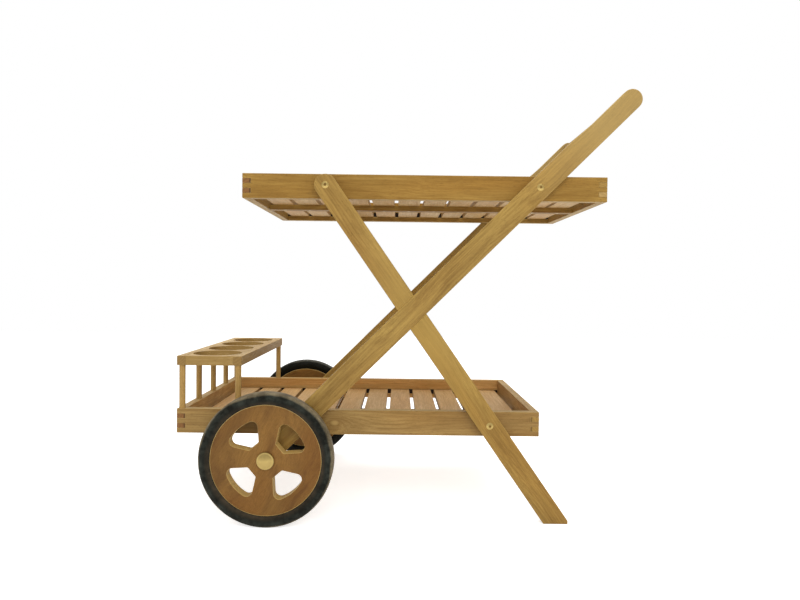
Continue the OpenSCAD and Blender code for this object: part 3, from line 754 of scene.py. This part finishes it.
def rubber(name, blooms):
    """Matt black rubber under blooms, from the disc outwards: dust, a grey-blue bloom on the
    walls, and scuffs on the shoulder and the tread."""
    finish = bpy.data.materials.new(name)
    nodes = Nodes(finish)
    where = nodes.add("TexCoord", {}).outputs["Object"]
    clouds = {"Vector": where, "Scale": BLOOM_CLOUDS, "Detail": 5, "Roughness": 0.68}
    bloom = nodes.add("TexNoise", clouds).outputs[0]
    patches = nodes.add("TexNoise", {"Vector": where, "Scale": BLOOM_PATCHES, "Detail": 3}).outputs[0]
    from_axle = nodes.vector("SUBTRACT", where, (axle_at[0], 0, axle_at[1]))
    radius = nodes.vector("LENGTH", nodes.vector("MULTIPLY", from_axle, (1, 0, 1)))
    radius = nodes.math("ADD", radius, nodes.ranged(patches, 0.3, 0.7, -BLOOM_WANDER, BLOOM_WANDER))
    colour = RUBBER_BLACK
    for start, full, strength, tone, cloudiness in blooms:
        reach = nodes.ranged(radius, start, full, 0, strength)
        cloudy = nodes.ranged(bloom, 0.38, 0.62, 1 - cloudiness, 1)
        colour = nodes.blend(nodes.math("MULTIPLY", reach, cloudy), colour, tone)
    bump = nodes.add("Bump", {"Height": bloom, "Distance": BLOOM_RELIEF, "Strength": 0.6})
    shader = nodes.tree.nodes["Principled BSDF"]
    nodes.join(shader.inputs["Base Color"], colour)
    nodes.join(shader.inputs["Roughness"], RUBBER_ROUGH)
    nodes.join(shader.inputs["Specular IOR Level"], RUBBER_GLOSS)
    nodes.join(shader.inputs["Normal"], bump.outputs[0])
    return finish


for side in ("left", "right"):
    node = f"tyre_{side}"
    low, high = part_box(node)
    disc_low, disc_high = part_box(f"wheel_disc_{side}")
    seat_r = (disc_high.x - disc_low.x) / 2
    tread_r = (high.z - low.z) / 2
    wall_r = (tread_r - seat_r) / 2
    bulge = (TYRE_W - TREAD_W) / 2
    wall_round = (wall_r ** 2 + bulge ** 2) / (2 * bulge)
    wall_a = math.degrees(math.asin(wall_r / wall_round))
    wall_at = (seat_r + wall_r, TYRE_W / 2 - wall_round)
    wall = arc(wall_at, wall_round, 90 + wall_a, 90 - wall_a, WALL_STEPS)[:-1]
    wall += [(tread_r - SHOULDER_DROP, TREAD_W / 2 - SHOULDER_IN), (tread_r, TREAD_W / 2 - TREAD_IN)]
    profile = wall + [(r, -y) for r, y in reversed(wall)]
    middle = Vector((axle_at[0], (low.y + high.y) / 2, axle_at[1]))
    tyre = turned(f"{node}_moulded", profile, middle, Y, TYRE_AROUND)
    fit(tyre, node, rubber(f"rubber_{side}", BLOOMS[side]), f"{side}_wheel")


# ---- Hub caps -----------------------------------------------------------------------
# A domed brass cap is pressed on each end of the axle: it keeps the wheel on. Its face is
# plain, with a flat rim round the dome.
CAP_RIM_W = 0.003
CAP_DOME = 0.0035
CAP_ARRIS = 0.0006
RIM_ROLL = 0.0012
RIM_STEP = 0.0004
CAP_STEPS = 12
CAP_AROUND = 72
HUB_BRASS = (0.42, 0.305, 0.108)
HUB_ROUGH = 0.34

hub_brass = metal("hub_brass", HUB_BRASS, HUB_ROUGH)
for side, outward in (("left", -1), ("right", 1)):
    node = f"hub_cap_{side}"
    low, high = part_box(node)
    radius = (high.x - low.x) / 2
    foot = low.y if outward > 0 else high.y
    rim = high.y - low.y - CAP_DOME
    dome_r = radius - CAP_RIM_W
    profile = [(0, 0.0), (radius - CAP_ARRIS, 0.0), (radius, CAP_ARRIS), (radius, rim - RIM_ROLL),
               (radius - RIM_STEP, rim - RIM_STEP), (radius - RIM_ROLL, rim), (dome_r + RIM_STEP, rim)]
    profile += domed(dome_r, CAP_DOME, rim, CAP_STEPS) + [(0, rim + CAP_DOME)]
    centre = Vector((axle_at[0], foot, axle_at[1]))
    cap = turned(f"{node}_domed", profile, centre, Y * outward, CAP_AROUND)
    fit(cap, node, hub_brass)


# ---- Bottle rack --------------------------------------------------------------------
# The rack's top is two long rails with five cross pieces glued between them, bored through
# for four bottles after gluing, so that each bore scallops the pieces beside it.
RACK_PALE = (0.66, 0.475, 0.225)
RACK_DEEP = (0.34, 0.21, 0.065)
# painted shade: the rack's sides and ends are darker than its tops, for the shade on its near faces; its
# end grain is darker too
RACK_END_AND_SHADE = (0.30, 0.18, 0.055)
RACK_SIDE_SHADE = (0.32, 0.197, 0.058)
HOLES = 4
HOLE_R = 0.052
SCALLOP_STEPS, WEB_STEPS = 6, 28
RACK_ARRIS = 0.0006
front_low, front_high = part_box("rack_front_rail")
rear_low, rear_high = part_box("rack_rear_rail")
post_y = rear_high.y - (rear_high.x - rear_low.x) / 2
hole_pitch = 2 * post_y / HOLES
hole_x = (front_low.x + rear_high.x) / 2
hole_at = [(hole_x, -post_y + (k + 0.5) * hole_pitch) for k in range(HOLES)]


def rack_piece(node, outline, low, high, grain):
    piece = sawn(f"{node}_eased", [outline], low.z, high.z, "Z", RACK_ARRIS)
    finish = oiled_wood(f"wood_{node}", RACK_PALE, RACK_DEEP, grain, Z, plank, RACK_END_AND_SHADE, edge=RACK_SIDE_SHADE)
    fit(piece, node, finish)


reach_a = math.degrees(math.acos((hole_x - front_high.x) / HOLE_R))
for node, edge_x, far_x, start, end in (
        ("rack_front_rail", front_high.x, front_low.x, 180 + reach_a, 180 - reach_a),
        ("rack_rear_rail", rear_low.x, rear_high.x, -reach_a, reach_a)):
    low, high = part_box(node)
    outline = [(far_x, high.y), (far_x, low.y), (edge_x, low.y)]
    for at in hole_at:
        outline += arc(at, HOLE_R, start, end, SCALLOP_STEPS)
    outline += [(edge_x, high.y)]
    rack_piece(node, outline, low, high, Y)
    plank += 1

for number in range(1, HOLES + 2):
    node = f"rack_cross_piece_{number:02d}"
    low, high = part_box(node)
    outline = []
    if number == 1:
        outline += [(front_high.x, low.y), (rear_low.x, low.y)]
    else:
        outline += arc(hole_at[number - 2], HOLE_R, 180 - reach_a, reach_a, WEB_STEPS)
    if number == HOLES + 1:
        outline += [(rear_low.x, high.y), (front_high.x, high.y)]
    else:
        outline += arc(hole_at[number - 1], HOLE_R, 360 - reach_a, 180 + reach_a, WEB_STEPS)
    rack_piece(node, outline, low, high, X)
    plank += 1


# ---- Rack dowels --------------------------------------------------------------------
# Seven 13 mm dowels carry the rack: five from the front end rail and two from the side
# rails. They are glued into blind sockets in the rails and in the rack's underside.
DOWEL_CHAMFER = 0.001
DOWEL_AROUND = 40
DOWEL_PALE = (0.56, 0.375, 0.13)
DOWEL_DEEP = (0.30, 0.17, 0.045)
dowels_low, dowels_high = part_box("rack_dowels")
front_x, rear_x = (front_low.x + front_high.x) / 2, (rear_low.x + rear_high.x) / 2
dowel_r = front_x - dowels_low.x
dowel_at = [(front_x, -post_y + k * hole_pitch) for k in range(HOLES + 1)]
dowel_at += [(rear_x, -post_y), (rear_x, post_y)]
dowel_profile = [(0, dowels_low.z), (dowel_r - DOWEL_CHAMFER, dowels_low.z),
                 (dowel_r, dowels_low.z + DOWEL_CHAMFER), (dowel_r, dowels_high.z - DOWEL_CHAMFER),
                 (dowel_r - DOWEL_CHAMFER, dowels_high.z), (0, dowels_high.z)]
dowels = [turned("dowel", dowel_profile, Vector((*at, 0)), Z, DOWEL_AROUND) for at in dowel_at]
finish = oiled_wood("wood_rack_dowels", DOWEL_PALE, DOWEL_DEEP, Z, X, plank, wear_and_highlight=0)
fit(joined("rack_dowels_turned", dowels), "rack_dowels", finish)


# ---- Studio -------------------------------------------------------------------------
# A white floor and white air with even soft light from all round, a soft box in front and one
# overhead, and the camera square on to the trolley's left side at half its height.
LIGHT_LEVEL = 0.62
FLOOR_COLOUR = (0.88, 0.88, 0.88, 1)
FLOOR_HALF = 4.5
FLOOR_GLOW = 0.64
FLOOR_ROUGH = 0.9
LAMPS_AIM = Vector((0, 0, 0.45))
CAMERA_AT = Vector((-0.016976, -1.536084, 0.496125))
CAMERA_YAW, CAMERA_PITCH, CAMERA_ROLL = 0.00293, -0.02274, 0.01171
FOCAL_PX = 617.66
FRAME_W = 800
SENSOR_W = 36


def seen(nodes):
    """1 for a ray from the camera, off a polished surface or through glass, 0 for the light
    that falls on things. It lets the white background show without lighting the trolley."""
    path = nodes.add("LightPath", {}).outputs
    total = path["Is Camera Ray"]
    for ray in ("Is Glossy Ray", "Is Transmission Ray"):
        total = nodes.math("MAXIMUM", total, path[ray])
    return total


def lamp(name, at, size, watts, shines=True):
    """A soft box that faces the trolley's middle."""
    light = bpy.data.lights.new(name, "AREA")
    light.shape = "RECTANGLE"
    light.size, light.size_y = size
    light.energy = watts
    holder = bpy.data.objects.new(name, light)
    holder.location = at
    holder.rotation_euler = (LAMPS_AIM - Vector(at)).to_track_quat("-Z", "Y").to_euler()
    holder.visible_glossy = shines
    scene.collection.objects.link(holder)


scene = bpy.context.scene
scene.world = bpy.data.worlds.new("studio")
nodes = Nodes(scene.world)
air = nodes.tree.nodes["Background"]
nodes.join(air.inputs["Color"], (1, 1, 1, 1))
nodes.join(air.inputs["Strength"], nodes.ranged(seen(nodes), 0, 1, LIGHT_LEVEL, 1))

bm = bmesh.new()
bmesh.ops.create_grid(bm, x_segments=8, y_segments=8, size=FLOOR_HALF)
floor = as_piece("floor", bm)
floor_finish = bpy.data.materials.new("white_floor")
floor.data.materials.append(floor_finish)
nodes = Nodes(floor_finish)
shader = nodes.tree.nodes["Principled BSDF"]
nodes.join(shader.inputs["Base Color"], FLOOR_COLOUR)
nodes.join(shader.inputs["Roughness"], FLOOR_ROUGH)
nodes.join(shader.inputs["Specular IOR Level"], 0)
glow = nodes.add("Emission", {"Strength": FLOOR_GLOW})
lit = nodes.add("AddShader", {0: shader.outputs[0], 1: glow.outputs[0]})
choose = nodes.add("MixShader", {0: seen(nodes), 1: shader.outputs[0], 2: lit.outputs[0]})
nodes.join(nodes.tree.nodes["Material Output"].inputs["Surface"], choose.outputs[0])

lamp("front", (0.3, -2.7, 1.75), (2.6, 1.8), 42, shines=False)
lamp("overhead", (0, 0.6, 3.0), (3.0, 2.4), 60)

level = Vector((math.sin(CAMERA_YAW), math.cos(CAMERA_YAW), 0))
view = level * math.cos(CAMERA_PITCH) + Z * math.sin(CAMERA_PITCH)
level_right = Vector((math.cos(CAMERA_YAW), -math.sin(CAMERA_YAW), 0))
level_up = level_right.cross(view)
right = math.cos(CAMERA_ROLL) * level_right + math.sin(CAMERA_ROLL) * level_up
up = math.cos(CAMERA_ROLL) * level_up - math.sin(CAMERA_ROLL) * level_right
camera = bpy.data.objects.new("camera", bpy.data.cameras.new("camera"))
camera.matrix_world = Matrix.Translation(CAMERA_AT) @ Matrix((right, up, -view)).transposed().to_4x4()
camera.data.sensor_width = SENSOR_W
camera.data.lens = SENSOR_W * FOCAL_PX / FRAME_W
scene.collection.objects.link(camera)
scene.camera = camera
scene.view_settings.view_transform = "Standard"
